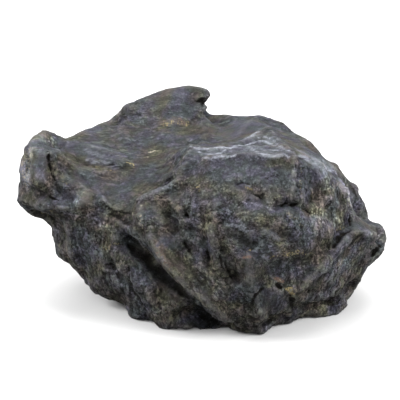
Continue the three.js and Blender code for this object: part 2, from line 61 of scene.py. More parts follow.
class Graph:  # shader nodes in one line each
    def __init__(self, tree):
        self.tree = tree

    def node(self, kind, inputs=None, **settings):
        made = self.tree.nodes.new(kind)
        for name, value in settings.items():
            setattr(made, name, value)
        for name, value in (inputs or {}).items():
            socket = made.inputs[name]
            if isinstance(value, bpy.types.NodeSocket):
                self.tree.links.new(value, socket)
            else:
                socket.default_value = value
        return made

    def noise(self, place, scale, detail, roughness, distortion=0.0):
        made = self.node("ShaderNodeTexNoise", {
            "Vector": place, "Scale": scale, "Detail": detail,
            "Roughness": roughness, "Distortion": distortion,
        })
        return made.outputs["Fac"]

    def cells(self, place, scale):  # a value of its own for each cell
        made = self.node("ShaderNodeTexVoronoi", {"Vector": place, "Scale": scale, "Randomness": 1.0})
        return self.node("ShaderNodeSeparateColor", {"Color": made.outputs["Color"]}).outputs[0]

    def shifted(self, place, by):
        return self.node("ShaderNodeMapping", {"Vector": place, "Location": (by, 0, 0)}).outputs[0]

    def along(self, place, direction, stretch, by=0.0):  # a pattern drawn out along a direction
        turn = Vector((1, 0, 0)).rotation_difference(Vector(direction)).to_euler()
        settings = {"Vector": place, "Rotation": turn, "Scale": stretch, "Location": (by, 0, 0)}
        return self.node("ShaderNodeMapping", settings, vector_type="TEXTURE").outputs["Vector"]

    def ramp(self, value, low, high, bottom=0.0, top=1.0):
        made = self.node("ShaderNodeMapRange", {
            "Value": value, "From Min": low, "From Max": high, "To Min": bottom, "To Max": top,
        })
        return made.outputs["Result"]

    def maths(self, operation, a, b=0.0):
        return self.node("ShaderNodeMath", {0: a, 1: b}, operation=operation).outputs[0]

    def plus(self, a, b):
        return self.maths("ADD", a, b)

    def minus(self, a, b):
        return self.maths("SUBTRACT", a, b)

    def times(self, a, b):
        return self.maths("MULTIPLY", a, b)

    def vectors(self, operation, *inputs):
        return self.node("ShaderNodeVectorMath", dict(enumerate(inputs)), operation=operation).outputs[0]

    def mix(self, share, a, b, blend="MIX"):
        made = self.node("ShaderNodeMix", {0: share, 6: a, 7: b}, data_type="RGBA", blend_type=blend)
        return made.outputs[2]

    def attribute(self, name):
        return self.node("ShaderNodeAttribute", attribute_name=name).outputs["Fac"]


cameraSettings = {
    "target": (-0.0005, -0.0013, 0.0189),  # what the middle of the frame shows, metres
    "distance": 0.3285,
    "elevation": 22.0,  # degrees above the floor
    "lens": 156.3,
    "sensor": 36.0,
    "frame": 400,  # pixels along each side of the frame
    "mmPerPixel": 0.19,  # on the stone
}
tilt = math.radians(cameraSettings["elevation"])
cameraAway = Vector((0, -math.cos(tilt), math.sin(tilt)))
cameraPlace = Vector(cameraSettings["target"]) + cameraSettings["distance"] * cameraAway


def makeCamera():
    data = bpy.data.cameras.new("camera")
    data.lens = cameraSettings["lens"]
    data.sensor_width = cameraSettings["sensor"]
    camera = bpy.data.objects.new("camera", data)
    camera.location = cameraPlace
    camera.rotation_euler = (math.pi / 2 - tilt, 0, 0)
    bpy.context.collection.objects.link(camera)
    bpy.context.scene.camera = camera
    print("camera set")


def framePoint(u, v, tree):  # where a pixel of the frame falls on the stone, or None
    half = cameraSettings["frame"] / 2
    focal = cameraSettings["frame"] * cameraSettings["lens"] / cameraSettings["sensor"]
    across = Vector((1, 0, 0)) * (u - half) / focal
    upward = Vector((0, math.sin(tilt), math.cos(tilt))) * (half - v) / focal
    return tree.ray_cast(cameraPlace, (across + upward - cameraAway).normalized())[0]


lightSettings = {
    "colour": (1, 1, 1, 1),
    "horizon": 0.45,  # strength of the light from low down, all round
    "zenith": 1.1,
    "backdrop": 1.0,  # how bright the room looks behind the stone
    "soft boxes": {
        # place in metres, size in metres, watts
        "overhead": ((0.0, 0.25, 0.58), 0.6, 4.4),
        "left": ((-0.55, 0.02, 0.40), 0.35, 5.4),
        "right": ((0.55, -0.12, 0.40), 0.35, 5.4),
    },
}


def makeLights():
    world = bpy.data.worlds.new("room")
    world.use_nodes = True
    g = Graph(world.node_tree)
    background = world.node_tree.nodes["Background"]
    background.inputs["Color"].default_value = lightSettings["colour"]
    around = g.node("ShaderNodeTexCoord").outputs["Generated"]
    up = g.node("ShaderNodeSeparateXYZ", {0: around}).outputs["Z"]
    sky = g.ramp(up, 0.0, 1.0, lightSettings["horizon"], lightSettings["zenith"])
    seen = g.node("ShaderNodeLightPath").outputs["Is Camera Ray"]
    strength = g.ramp(seen, 0.0, 1.0, sky, lightSettings["backdrop"])
    world.node_tree.links.new(strength, background.inputs["Strength"])
    bpy.context.scene.world = world
    for name, (place, size, watts) in lightSettings["soft boxes"].items():
        data = bpy.data.lights.new(name, "AREA")
        data.shape = "DISK"
        data.size = size
        data.energy = watts
        light = bpy.data.objects.new(name, data)
        light.location = place
        aim = Vector(cameraSettings["target"]) - light.location
        light.rotation_euler = aim.to_track_quat("-Z", "Y").to_euler()
        bpy.context.collection.objects.link(light)
    bpy.context.scene.view_settings.view_transform = "Standard"
    print("lights set")


floorSettings = {"size": 1.4, "colour": (0.68, 0.68, 0.68, 1), "roughness": 0.25, "specular": 0.4}


def makeFloor():
    bm = bmesh.new()
    bmesh.ops.create_grid(bm, x_segments=1, y_segments=1, size=floorSettings["size"] / 2)
    mesh = bpy.data.meshes.new("floor")
    bm.to_mesh(mesh)
    bm.free()
    floor = bpy.data.objects.new("floor", mesh)
    bpy.context.collection.objects.link(floor)
    material = bpy.data.materials.new("floorPaper")
    material.use_nodes = True
    shader = material.node_tree.nodes["Principled BSDF"]
    shader.inputs["Base Color"].default_value = floorSettings["colour"]
    shader.inputs["Roughness"].default_value = floorSettings["roughness"]
    shader.inputs["Specular IOR Level"].default_value = floorSettings["specular"]
    mesh.materials.append(material)
    print("floor laid")


bodySettings = {
    "merge": 0.0001,  # points closer than this are one, mm
    "cell": 0.355,  # side of the fine mesh's squares, mm
    "rounding": 2,  # smoothing passes over the broad facets
    "softness": 0.5,
}


def soften(bm, passes, factor):
    for _ in range(passes):
        bmesh.ops.smooth_vert(
            bm, verts=bm.verts, factor=factor, use_axis_x=True, use_axis_y=True, use_axis_z=True,
        )


def makeBody():  # the plain stone with fine, even faces
    bm = bmesh.new()
    bm.from_mesh(frame["nodes"]["lodestone"].data)
    bmesh.ops.remove_doubles(bm, verts=bm.verts, dist=bodySettings["merge"] * mm)
    mesh = bpy.data.meshes.new("rough")
    bm.to_mesh(mesh)
    bm.free()
    rough = bpy.data.objects.new("rough", mesh)
    bpy.context.collection.objects.link(rough)
    remesh = rough.modifiers.new("even", "REMESH")
    remesh.mode = "VOXEL"
    remesh.voxel_size = bodySettings["cell"] * mm
    evaluated = rough.evaluated_get(bpy.context.evaluated_depsgraph_get())
    fine = bpy.data.meshes.new_from_object(evaluated)
    bpy.data.objects.remove(rough)
    bm = bmesh.new()
    bm.from_mesh(fine)
    soften(bm, bodySettings["rounding"], bodySettings["softness"])
    print("body:", len(bm.verts), "points,", len(bm.faces), "faces")
    return bm


def pointsOf(bm):
    return np.array([v.co for v in bm.verts]) / mm


def normalsOf(bm):
    bm.normal_update()
    return np.array([v.normal for v in bm.verts])


def movePoints(bm, points):
    for v, p in zip(bm.verts, (points * mm).tolist()):
        v.co = p


noiseSettings = {
    "fall": 0.9,  # how fast the finer octaves fade
    "step": 2.1,  # how much finer each octave is than the last
    "crestOffset": 1.0,
    "crestGain": 1.6,
    "leanSpread": 9.7,  # sets neighbouring chips' tilts apart
}


def smoothStep(t):
    t = np.clip(t, 0, 1)
    return t * t * (3 - 2 * t)


def rugged(points, size, octaves, seed):  # cloudy noise, about -1 to 1
    places = (points / size + seed).tolist()
    fall, step = noiseSettings["fall"], noiseSettings["step"]
    return np.array([noise.fractal(p, fall, step, octaves) for p in places])


def creased(points, size, octaves, seed):  # sharp crests with round hollows, about 0 to 1
    places = (points / size + seed).tolist()
    fall, step = noiseSettings["fall"], noiseSettings["step"]
    offset, gain = noiseSettings["crestOffset"], noiseSettings["crestGain"]
    return np.array([noise.ridged_multi_fractal(p, fall, step, octaves, offset, gain) for p in places]) / 2


def warped(points, size, reach, seed):  # the points themselves, swayed up to the reach
    places = (points / size + seed).tolist()
    return points + reach * np.array([noise.noise_vector(p) for p in places])


def chipped(points, size, blend, seed):  # flat faces tilted at random, with steps between them
    heights = np.empty(len(points))
    for i, p in enumerate((points / size + seed).tolist()):
        gaps, centres = noise.voronoi(p)
        levels = []
        for centre in centres[:2]:
            lean = noise.cell_vector([c * noiseSettings["leanSpread"] for c in centre])
            levels.append(sum((p[k] - centre[k]) * (2 * lean[k] - 1) for k in range(3)))
        share = min(1, (gaps[1] - gaps[0]) / blend) / 2 + 0.5
        heights[i] = share * levels[0] + (1 - share) * levels[1]
    return heights


# The ways that the rock's own lines run, and the regions where they run so: the centre and the reach
# in mm, the way, and how high the lines are.
runs = {
    "level": (1, 0.12, -0.1),
    "upright": (0.1, -0.25, -1),
    "slant": (0.7, -0.3, -0.7),
    "ridge": (-0.4, -0.35, -0.8),
}
bedding = {
    "dish": ((-17, 2, 26), 13, "level", 0.26),
    "fin": ((-4, 14, 31), 8, "level", 0.12),
    "scoop": ((8, 7, 30), 7, "level", 0.06),
    "crest": ((10, -8, 31), 8, "level", 0.3),
    "hump": ((8, -19, 20), 8, "level", 0.15),
    "brow": ((9, -14, 27), 6, "upright", 0.2),
    "slab": ((-4, -20, 13), 6, "slant", 0.26),
    "slab foot": ((2, -22, 7), 6, "slant", 0.26),
    "fold": ((1, -20, 19), 4, "upright", 0.2),
    "toe": ((12, -20, 7), 7, "upright", 0.16),
    "ridge": ((26, -11, 10), 8, "ridge", 0.36),
    "right face": ((22, -14, 21), 5, "upright", 0.15),
    "shoulder": ((24, -6, 24), 8, "upright", 0.2),
    "horn": ((-32, -3, 24), 6, "upright", 0.16),
    "flank": ((-20, -9, 12), 10, "upright", 0.24),
    "flank foot": ((-11, -17, 5), 6, "upright", 0.24),
    "back": ((0, 24, 17), 20, "level", 0.28),
    "far end": ((28, 12, 15), 12, "ridge", 0.26),
}
beddingGrain = {
    "long": 4.5,  # length of a line, mm
    "short": 0.75,
    "waviness": 1.4,
    "waves": 5.0,
    "waveSeed": 3.1,
    "octaves": 4,
    "seed": 11.3,
    "seedStep": 5,  # between one run and the next
    "leastShare": 0.03,  # below it a run isn't worked out
    "level": 0.45,  # height of the noise that stays where it is
    "strength": 0.6,
}
leastTotal = 1e-6  # keeps the shares finite far from every region


def runShares(points):  # how much of each run a point has, and how high its lines are there
    shares = {name: np.zeros(len(points)) for name in runs}
    total = np.full(len(points), leastTotal)
    high = np.zeros(len(points))
    for centre, reach, run, lineHeight in bedding.values():
        away = np.linalg.norm(points - np.array(centre), axis=1) / reach
        weight = np.exp(-away * away)
        shares[run] += weight
        high += weight * lineHeight
        total += weight
    return {name: share / total for name, share in shares.items()}, high / total


def beddingLines(points, shares, high):  # fine raised lines along each run
    lines = np.zeros(len(points))
    grain = beddingGrain
    bent = warped(points, grain["waves"], grain["waviness"], grain["waveSeed"])
    stretch = np.array([grain["long"], grain["short"], grain["short"]])
    for number, (name, direction) in enumerate(runs.items()):
        near = shares[name] > grain["leastShare"]
        along = Vector(direction).normalized()
        side = along.orthogonal().normalized()
        axes = np.array([along, side, along.cross(side)])
        local = bent[near] @ axes.T / stretch
        crests = creased(local, 1.0, grain["octaves"], grain["seed"] + grain["seedStep"] * number)
        lines[near] += shares[name][near] * (crests - grain["level"])
    return grain["strength"] * lines * high


reliefSettings = {  # sizes and heights in mm
    "sway": {"size": 4.0, "reach": 0.9, "seed": 7.7},
    "chips": {"size": 4.5, "blend": 0.05, "high": 0.18, "seed": 2.3},
    "splinters": {"size": 1.3, "blend": 0.10, "high": 0.15, "seed": 8.9},
    "lumps": {"size": 3.4, "octaves": 6, "high": 0.06, "seed": 5.7},
    "creases": {"size": 1.1, "octaves": 4, "high": 0.10, "seed": 1.9},
}

# Where the stone is smoother than elsewhere: centre, reach and how much of the relief is left.
calmPlaces = {
    "scoop": ((5.6, 7.7, 29.7), 6, 0.25),
    "horn front": ((-30.2, -6.6, 27.6), 4, 0.15),
    "fin face": ((-5.9, 12.8, 33.6), 7, 0.3),
    "dish sheet": ((-21.3, 1.6, 27.9), 4, 0.5),
    "slab": ((-6.8, -18.6, 15.0), 5, 0.5),
    "slab foot": ((0.4, -22.8, 8.2), 5, 0.6),
    "toe facet": ((12.5, -22.1, 7.8), 3.5, 0.35),
    "nose top": ((31.0, -6.0, 15.6), 3.5, 0.4),
    "recess": ((20.4, -12.0, 27.1), 3, 0.4),
    "hump sheet": ((9.5, -19.3, 24.6), 2.5, 0.5),
    "hump foot": ((8.8, -24.2, 12.8), 3, 0.5),
    "lobe face": ((27.0, -10.6, 10.2), 4, 0.6),
    "underside": ((0, 0, -4), 14, 0.3),
}
calmFade = 1.5  # the relief comes back between a third of the reach and the whole of it


def calmness(points):  # how much of the relief is left at each point
    left = np.ones(len(points))
    for centre, reach, share in calmPlaces.values():
        away = np.linalg.norm(points - np.array(centre), axis=1) / reach
        left *= share + (1 - share) * smoothStep(calmFade * away - (calmFade - 1))
    return left


def stoneRelief(points, shares, high):
    sway = reliefSettings["sway"]
    bent = warped(points, sway["size"], sway["reach"], sway["seed"])
    height = np.zeros(len(points))
    for name in ("chips", "splinters"):
        layer = reliefSettings[name]
        height += layer["high"] * chipped(bent, layer["size"], layer["blend"], layer["seed"])
    lumps = reliefSettings["lumps"]
    height += lumps["high"] * rugged(points, lumps["size"], lumps["octaves"], lumps["seed"])
    creases = reliefSettings["creases"]
    folds = creased(bent, creases["size"], creases["octaves"], creases["seed"])
    height += creases["high"] * (folds - 0.5)
    return (height + beddingLines(points, shares, high)) * calmness(points)


# Places where the broad shape is drawn out or pushed in: the pixel, how far round it the stone moves in
# mm, how many pixels it moves to the right and down, and how many mm out towards the viewer.
drawnPlaces = {
    # The horn and the wall below it.
    "horn top": ((53, 139), 3.2, (0, 7), 0),
    "horn crown": ((57, 137), 2.6, (0, 8), 0),
    "horn shoulder": ((35, 139), 3.0, (2, -2), 0),
    "horn back": ((26, 150), 2.4, (-2, -2), 0),
    "horn left": ((25, 165), 3.0, (10, 0), 0),
    "horn hole": ((63, 190), 3.0, (0, 0), 1.4),
    "horn hole top": ((56, 180), 2.2, (0, 0), 0.6),
    "horn underside": ((44, 222), 4.0, (9, -17), 0),
    "wall top": ((52, 230), 3.0, (3, -1), 0),
    "wall": ((62, 256), 2.8, (-3, 1), 0),
    # The fin.
    "saddle": ((84, 137), 4.0, (0, -6), 0),
    "fin corner": ((128, 110), 2.4, (-2, -4), 0),
    "fin corner foot": ((114, 117), 2.6, (1, 9), 0),
    "fin edge": ((142, 104), 4.0, (-1, -3), 0),
    "fin top": ((192, 90), 3.2, (0, -3), 0),
    "fin tip": ((200, 94), 2.8, (8, -1), 0),
    "fin bump": ((203, 107), 1.3, (5, 0), 0),
    "fin notch": ((208, 110), 2.8, (-14, 4), 0),
    "fin heel": ((212, 110), 3.0, (-10, 9), 0),
    # The far edge of the top.
    "col edge": ((218, 119), 3.6, (0, 6), 0),
    "top left": ((268, 120), 3.4, (1, -1), 0),
    "top right": ((319, 151), 4.2, (-7, 8), 0),
    "shoulder corner": ((343, 180), 2.4, (2, -2), 0),
    "side flake": ((353, 188), 2.4, (4, -2), 0),
    # The right end.
    "right notch": ((367, 212), 4.2, (-24, 12), 0),
    "nose": ((384, 236), 2.6, (-14, 0), 0),
    "nose low": ((380, 247), 2.0, (2, 1), 0),
    "nose underside": ((370, 264), 3.2, (1, -1), 0),
    "lobe notch": ((352, 292), 3.0, (-19, -13), 0),
    "lobe corner": ((334, 310), 3.0, (2, 3), 0),
    "lobe crevice": ((303, 303), 2.4, (0, 0), 0.7),
    "lobe crevice end": ((322, 301), 2.0, (0, 0), 0.5),
    "toe right": ((281, 323), 2.4, (0, -5), 0),
    # The hollows under the ridge and the fold.
    "trough": ((316, 251), 3.2, (0, 0), 0.7),
    "trough middle": ((298, 257), 3.2, (0, 0), 0.7),
    "trough end": ((280, 260), 3.0, (0, 0), 0.6),
    "fold hollow": ((227, 264), 2.6, (0, 0), 0.5),
    # The furrow and the feet beside it.
    "furrow head": ((117, 236), 2.6, (0, 0), 0.9),
    "furrow wall top": ((142, 247), 2.2, (4, -2), 0),
    "furrow wall": ((156, 261), 2.4, (5, -3), 0),
    "furrow wall low": ((172, 278), 2.4, (5, -3), 0),
    "flank rim": ((132, 262), 2.6, (0, 0), -0.6),
    "flank edge": ((114, 300), 5.0, (2, -4), 0),
    "left foot": ((132, 313), 3.2, (-1, 5), 0),
    "foot": ((164, 320), 3.8, (-1, 9), 0),
    "hollow foot": ((209, 322), 3.0, (0, 6), 0),
}


def drawPlaces(bm):  # all the moves start from the same shape, so their order doesn't matter
    tree = BVHTree.FromBMesh(bm)
    points = pointsOf(bm)
    pixelsPerMm = 1 / cameraSettings["mmPerPixel"]
    moved = points.copy()
    for name, (pixel, reach, (right, down), out) in drawnPlaces.items():
        centre = framePoint(*pixel, tree)
        if centre is None:
            print("missed the stone at the", name)
            continue
        away = np.linalg.norm(points - np.array(centre) / mm, axis=1)
        share = smoothStep(1 - away / reach)
        step = np.array([right, -down * math.sin(tilt), -down * math.cos(tilt)]) / pixelsPerMm
        moved += share[:, None] * (step + out * np.array(cameraAway))
    movePoints(bm, moved)
    print("broad shape drawn")


# Places smoothed over: the pixel, how far round it in mm, and the passes.
smoothPlaces = {
    "horn front": ((39, 162), 2.6, 40),
    "horn front low": ((40, 178), 2.6, 40),
    "horn hole": ((62, 190), 3.4, 40),
    "horn step": ((36, 192), 2.6, 30),
    "trough": ((318, 250), 3.0, 40),
    "trough middle": ((298, 257), 3.0, 40),
    "trough end": ((278, 260), 3.0, 40),
    "lip": ((168, 182), 2.4, 20),
    "fold hollow": ((227, 264), 2.4, 20),
    "flank rim": ((126, 256), 3.0, 40),
    "flank rim low": ((134, 276), 3.0, 40),
    "lobe crevice": ((306, 302), 2.4, 30),
}


def smoothOver(bm):  # each point goes half way to the middle of its neighbours, pass after pass
    tree = BVHTree.FromBMesh(bm)
    for pixel, reach, passes in smoothPlaces.values():
        centre = framePoint(*pixel, tree)
        near = [v for v in bm.verts if (v.co - centre).length < reach * mm]
        rings = [[edge.other_vert(v) for edge in v.link_edges] for v in near]
        for _ in range(passes):
            middles = [sum((w.co for w in ring), Vector()) / len(ring) for ring in rings]
            for v, middle in zip(near, middles):
                v.co = v.co.lerp(middle, 0.5)


# Marks on the stone, placed where they show in the frame: a path of pixels, half the mark's width in
# mm, and what it does there. High is in mm. Shade is painted shade, and painted light below 0; a whole step
# of it leaves shadeStep of the light. The near-black stain is painted shade, and the blue is a painted
# sheen.
marks = {
    # Cracks, pits and hollows, darkened with painted shade.
    "furrow": (
        [(130, 246), (138, 254), (146, 258), (152, 267), (161, 271), (167, 279), (176, 285), (186, 295)],
        1.8, {"high": -0.4, "shade": 1.5, "fray": 0.6},
    ),
    "furrow end": ([(184, 294), (196, 306), (208, 316), (220, 325)], 1.6, {"high": -0.3, "shade": 0.5}),
    "foot hollow": ([(196, 318), (206, 321), (216, 323), (228, 326)], 1.4, {"high": -0.2, "shade": 0.4}),
    "horn crack": ([(49, 152), (49, 158), (50, 168)], 0.45, {"high": -0.4, "creviceShade": 1.2}),
    "horn crack end": ([(50, 168), (53, 176), (57, 183)], 0.35, {"high": -0.2, "creviceShade": 0.9}),
    "horn slit": ([(49, 195), (53, 198), (58, 200)], 0.4, {"high": -0.3, "creviceShade": 1.2}),
    "horn edge": ([(18, 201), (25, 203), (33, 206)], 0.4, {"high": -0.2, "creviceShade": 1.0}),
    "dish line": ([(92, 162), (104, 165), (118, 165)], 0.5, {"high": -0.2, "creviceShade": 0.5}),
    "dish far line": ([(144, 166), (156, 168), (172, 166)], 0.5, {"high": -0.15, "creviceShade": 0.6}),
    "dish long line": ([(150, 144), (168, 142), (186, 143), (204, 147)],
                       0.45, {"high": -0.08, "creviceShade": 0.35}),
    "lip crack": ([(106, 206), (116, 212), (126, 213), (135, 212)], 0.4, {"high": -0.25, "creviceShade": 0.9}),
    "lip cavity": ([(112, 214), (122, 219), (132, 224)], 0.9, {"high": -0.25, "creviceShade": 0.8, "rust": 0.3}),
    "lip hollow": ([(166, 181), (172, 178)], 0.6, {"high": -0.1, "creviceShade": 0.7}),
    "fin foot": ([(128, 121), (140, 127), (156, 129), (172, 128), (186, 126)],
                 0.7, {"high": -0.08, "warmth": 0.6, "creviceShade": 0.1}),
    "fin left edge": ([(123, 106), (122, 112), (126, 119)],
                      0.5, {"high": -0.15, "shade": 0.3, "warmth": 0.8}),
    "fan groove": ([(62, 147), (70, 154), (79, 160), (88, 166), (98, 167)],
                   0.8, {"high": -0.15, "warmth": 1.0, "creviceShade": 0.3}),
    "left hollow": ([(168, 214), (172, 224), (176, 232)], 1.9, {"high": -0.12, "shade": 0.35}),
    "under lip hollow": ([(184, 228), (194, 229), (202, 231)], 0.8, {"high": -0.2, "creviceShade": 0.5}),
    "dark hollow": ([(190, 234), (198, 238), (203, 247)], 1.1, {"high": -0.2, "creviceShade": 0.4}),
    "fold trough": ([(206, 247), (207, 254), (208, 262)], 0.5, {"high": -0.25, "creviceShade": 0.9}),
    "right trough": ([(219, 254), (221, 261), (223, 268)], 0.45, {"high": -0.25, "creviceShade": 1.0}),
    "right trough end": ([(225, 263), (228, 271), (231, 278)], 0.45, {"high": -0.25, "creviceShade": 1.0}),
    "slab head crack": ([(184, 243), (189, 249), (192, 254)], 0.55, {"high": -0.35, "creviceShade": 0.9}),
    "slab crack": ([(221, 274), (228, 284), (234, 296)], 0.5, {"high": -0.2, "creviceShade": 0.6}),
    "brow crack": ([(238, 184), (244, 183), (250, 185)], 0.35, {"high": -0.2, "creviceShade": 1.0}),
    "brow crack end": ([(252, 193), (257, 195), (262, 198)], 0.38, {"high": -0.25, "creviceShade": 1.0}),
    "brow line": ([(250, 180), (264, 179), (276, 175), (288, 175)], 0.4, {"high": -0.1, "creviceShade": 0.6}),
    "long pit": ([(281, 206), (285, 203), (288, 204)], 0.5, {"high": -0.3, "creviceShade": 1.2}),
    "long pit end": ([(289, 205), (293, 205), (297, 203)], 0.45, {"high": -0.3, "creviceShade": 1.1}),
    "side pit": ([(305, 209), (309, 213)], 0.4, {"high": -0.3, "creviceShade": 1.0}),
    "recess": ([(308, 170), (314, 180), (319, 190), (314, 199)], 2.4, {"high": -0.25, "creviceShade": 0.1}),
    "ridge crack": ([(349, 231), (341, 234), (337, 241), (334, 247)], 0.7, {"high": -0.7, "creviceShade": 1.2}),
    "toe crack": ([(262, 288), (256, 294), (252, 303)], 0.5, {"high": -0.4, "creviceShade": 1.1}),
    "lobe hollow": ([(316, 307), (324, 304), (332, 302)], 1.2, {"high": -0.3, "creviceShade": 0.5}),
    "toe notch": ([(262, 326), (268, 322), (276, 319)], 0.7, {"high": -0.4, "creviceShade": 0.8}),
    "flank hollow": ([(110, 264), (117, 272), (122, 280)], 1.2, {"high": -0.35, "creviceShade": 0.6}),
    "flank crack": ([(128, 268), (129, 280), (134, 292), (142, 304)], 0.8, {"high": -0.4, "creviceShade": 0.8}),
    "wall crack": ([(96, 204), (97, 209), (97, 214)], 0.5, {"high": -0.3, "creviceShade": 0.9}),
    "wall hollow": ([(52, 216), (56, 222), (62, 230)], 1.1, {"high": -0.3, "creviceShade": 0.7}),
    "nose spot": ([(380, 246), (376, 250), (373, 255)], 0.8, {"high": -0.4, "creviceShade": 1.2}),
    "small pit": ([(186, 214), (188, 217)], 0.5, {"high": -0.4, "creviceShade": 1.3}),
    "smaller pit": ([(183, 207), (187, 209)], 0.4, {"high": -0.2, "creviceShade": 0.9}),
    "fin pits": ([(197, 101), (203, 99), (204, 108)], 0.7, {"high": -0.3, "creviceShade": 1.0}),
    "red pit": ([(350, 218), (350, 225)], 0.45, {"high": -0.5, "creviceShade": 1.2, "rust": 0.35}),
    "lobe pit": ([(309, 292)], 0.5, {"high": -0.6, "creviceShade": 1.2}),
    "lobe crack": ([(341, 288), (336, 293), (333, 298)], 0.5, {"high": -0.4, "creviceShade": 1.1}),
    "toe pit": ([(290, 296), (292, 304), (294, 310)], 0.9, {"high": -0.5, "creviceShade": 0.8}),
    "ochre cave": ([(276, 284), (281, 287)], 0.7, {"high": -0.5, "creviceShade": 1.0}),
    "back flake": ([(281, 122), (289, 127)], 0.9, {"creviceShade": 1.0}),
    "side flake": ([(351, 186), (357, 197)], 0.7, {"creviceShade": 0.9}),
    # Ridges, lips and edges, some with painted light on them.
    "horn front": ([(39, 152), (39, 166), (40, 180)], 2.2, {"high": 0.1, "shade": -0.3}),
    "horn arris": ([(33, 147), (32, 158), (31, 172), (31, 186)], 0.6, {"high": 0.2}),
    "fan ridge": ([(56, 148), (64, 158), (76, 168), (88, 178), (98, 190), (106, 202)],
                  1.3, {"high": 0.2, "shade": -0.25, "warmth": -0.8}),
    "fan edge": ([(58, 160), (64, 172), (70, 184)], 0.8, {"high": 0.15, "shade": -0.2}),
    "slab lip": ([(150, 240), (158, 252), (167, 266), (180, 279), (195, 292), (226, 316), (240, 327)],
                 0.8, {"high": 0.2}),
    "hump lip": ([(146, 197), (154, 193), (165, 189), (175, 184), (181, 176)],
                 1.2, {"high": 0.06, "shade": -0.2}),
    "pale ridge": ([(141, 206), (141, 216), (141, 228)], 0.9, {"high": 0.15, "pale": 0.5}),
    "fold ridge": ([(210, 206), (209, 220), (209, 232), (213, 244)], 1.5, {"high": 0.12, "shade": -0.15}),
    "hump strand right": ([(262, 230), (272, 234), (279, 240)],
                          0.8, {"high": 0.1, "pale": 0.3, "blue": 0.4}),
    "arris": ([(293, 161), (294, 174), (293, 188), (291, 200)], 0.6, {"high": 0.2, "shade": -0.5}),
    "arris crust": ([(300, 164), (301, 176), (300, 190), (302, 200)],
                    0.9, {"high": 0.1, "ochre": 0.35, "pale": 0.35}),
    "right border": ([(330, 174), (333, 185), (333, 196)], 0.9, {"high": 0.12, "pale": 0.4}),
    "right streak": ([(345, 178), (348, 190), (350, 204)], 0.7, {"high": 0.12, "shade": -0.3}),
    "diagonal ridge": ([(346, 238), (336, 250), (323, 263), (311, 275), (302, 285)],
                       1.0, {"high": 0.25, "shade": -0.2}),
    "lobe ridge": ([(300, 301), (318, 300), (328, 298)], 0.7, {"high": 0.15, "ochre": 0.3, "pale": 0.4}),
    "nose edge": ([(356, 232), (364, 233), (374, 235), (382, 239)], 0.8, {"high": 0.15, "shade": -0.4}),
    "dish sheet": ([(70, 144), (84, 147), (98, 152), (112, 159)],
                   2.6, {"high": 0.1, "shade": 0.15, "warmth": -2.2}),
    "horn boss": ([(73, 204), (79, 199), (85, 192)], 1.5, {"high": 0.15, "shade": -0.4, "pale": 0.3}),
    "flank streak": ([(71, 222), (71, 240), (74, 256)], 0.7, {"high": 0.12, "pale": 0.35}),
    "flank rib": ([(140, 264), (142, 276), (146, 290)],
                  1.1, {"high": 0.15, "shade": -0.3, "warmth": -0.6}),
    "flank rib end": ([(150, 272), (154, 288), (162, 304)], 0.8, {"high": 0.12, "pale": 0.3}),
    "toe ridge": ([(248, 262), (250, 280), (256, 300), (262, 318)], 1.4, {"high": 0.15, "warmth": -0.4}),
    # Painted sheen: bluish highlights along the crest and the shoulder, in threads and haze.
    "crest haze": ([(206, 153), (230, 152), (252, 150), (276, 154)], 1.8, {"blue": 0.22}),
    "top haze": ([(246, 137), (262, 136), (276, 144)], 1.6, {"blue": 0.25}),
    "shoulder haze": ([(298, 150), (310, 156), (324, 164), (336, 168)], 1.7, {"blue": 0.35}),
    "filament one": ([(190, 147), (196, 149), (205, 149), (215, 148), (230, 148), (237, 146), (247, 146)],
                     0.5, {"high": 0.1, "blue": 1.0}),
    "filament two": ([(247, 146), (252, 149), (258, 153), (267, 155), (275, 157), (283, 154), (289, 157)],
                     0.5, {"high": 0.1, "blue": 0.95}),
    "filament three": ([(199, 152), (206, 154), (212, 155), (220, 154), (225, 151)],
                       0.5, {"high": 0.1, "blue": 0.95}),
    "filament four": ([(202, 158), (210, 159), (218, 157), (226, 156), (236, 155)],
                      0.45, {"high": 0.05, "blue": 0.9}),
    "filament five": ([(243, 141), (248, 138), (253, 134), (258, 132)], 0.8, {"high": 0.1, "blue": 1.0}),
    "filament six": ([(258, 138), (267, 137), (273, 140), (279, 146), (287, 150), (294, 152)],
                     0.45, {"high": 0.05, "blue": 0.9}),
    "filament seven": ([(245, 146), (256, 142), (264, 141), (271, 144), (280, 149)],
                       0.45, {"high": 0.05, "blue": 0.85}),
    "filament eight": ([(255, 148), (264, 150), (273, 151), (283, 150)],
                       0.45, {"high": 0.05, "blue": 0.8}),
    "shoulder filament": ([(296, 156), (304, 158), (311, 162), (319, 167), (327, 171), (337, 171)],
                          0.6, {"high": 0.1, "blue": 0.95}),
    "dish sheet edge": ([(86, 160), (98, 163), (110, 163)], 0.7, {"high": 0.1, "blue": 0.4}),
    "dish streak": ([(84, 150), (98, 155), (112, 160)], 0.7, {"shade": 0.2, "blue": 0.3}),
    "dish streak high": ([(92, 146), (106, 150), (120, 153)], 0.5, {"blue": 0.3}),
    "hump strand": ([(238, 219), (242, 225), (248, 230)], 0.35, {"high": 0.1, "blue": 0.9}),
    "hump strand low": ([(226, 224), (236, 226), (246, 231), (252, 231)],
                        0.35, {"high": 0.1, "blue": 0.8}),
    # Flecks, crusts and stains.
    "cream fleck": ([(149, 152), (154, 151), (159, 150)], 0.5, {"pale": 0.75}),
    "cream crumbs": ([(128, 152), (140, 155), (150, 158), (158, 156)], 0.9, {"pale": 0.35}),
    "gold fleck": ([(126, 162), (131, 164), (135, 168)], 0.45, {"ochre": 0.7, "pale": 0.45}),
    "fin ochre": ([(164, 124), (176, 121), (188, 124)], 1.6, {"warmth": 1.2, "ochre": 0.45, "rust": 0.4}),
